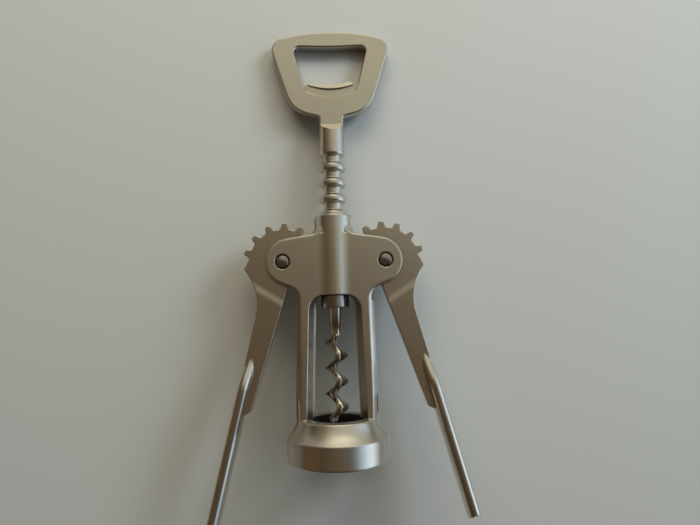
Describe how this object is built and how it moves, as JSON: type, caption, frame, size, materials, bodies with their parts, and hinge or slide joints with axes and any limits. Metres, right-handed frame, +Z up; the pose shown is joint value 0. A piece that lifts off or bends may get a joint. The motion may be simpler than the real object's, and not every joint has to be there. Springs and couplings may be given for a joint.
{
  "type": "wing corkscrew",
  "caption": "Wing corkscrew: toothed levers on a frame with a bell raise a ring rack that carries the worm and ends in an opener head.",
  "frame": {"origin": "under the middle of the whole tool's outline, on the table that it lies on", "axes": "+X from the left lever to the right lever, +Y from the bell's mouth towards the opener head, +Z up off the table towards the tool's front; the tool lies on its back on the bell's edge and the head's end, so the spindle runs along +Y and dips 6.02 degrees towards the head"},
  "size_m": [0.1126, 0.213, 0.0427],
  "materials": {
    "satin_nickel": "satin nickel plate on a zinc casting, finely blasted",
    "handle_nickel": "satin nickel plate on a zinc casting, finely blasted",
    "polished_steel": "polished",
    "worm_steel": "polished, slightly rounded edges",
    "black_plastic": "moulded, half matt"
  },
  "bodies": {
    "frame": {"frame_body": "satin_nickel", "bell_liner": "black_plastic", "left_pivot_pin": "polished_steel", "right_pivot_pin": "polished_steel"},
    "stop_collar": {"stop_collar": "polished_steel"},
    "spindle": {"handle_and_rack": "handle_nickel", "worm": "worm_steel"},
    "left_lever": {"left_lever": "satin_nickel"},
    "right_lever": {"right_lever": "satin_nickel"}
  },
  "joints": [
    {"name": "spindle_slide", "type": "slide", "parent": "frame", "child": "stop_collar", "axis": [0, 0.9945, -0.1048], "range_m": [-0.0412, 0]},
    {"name": "spindle_turn", "type": "hinge", "parent": "stop_collar", "child": "spindle", "pos_m": [-0.00166, -0.01275, 0.01466], "axis": [0, 0.9945, -0.1048], "continuous": true},
    {"name": "left_lever_pivot", "type": "hinge", "parent": "frame", "child": "left_lever", "pos_m": [-0.02366, 0.00172, 0.01313], "axis": [0, 0.1048, 0.9945], "range_deg": [-147.59, 0]},
    {"name": "right_lever_pivot", "type": "hinge", "parent": "frame", "child": "right_lever", "pos_m": [0.02034, 0.00172, 0.01313], "axis": [0, 0.1048, 0.9945], "range_deg": [0, 147.59]}
  ],
  "couplings": [
    {"joint": "left_lever_pivot", "follows": "spindle_slide", "rad_per_m": 62.5},
    {"joint": "right_lever_pivot", "follows": "spindle_slide", "rad_per_m": -62.5}
  ]
}
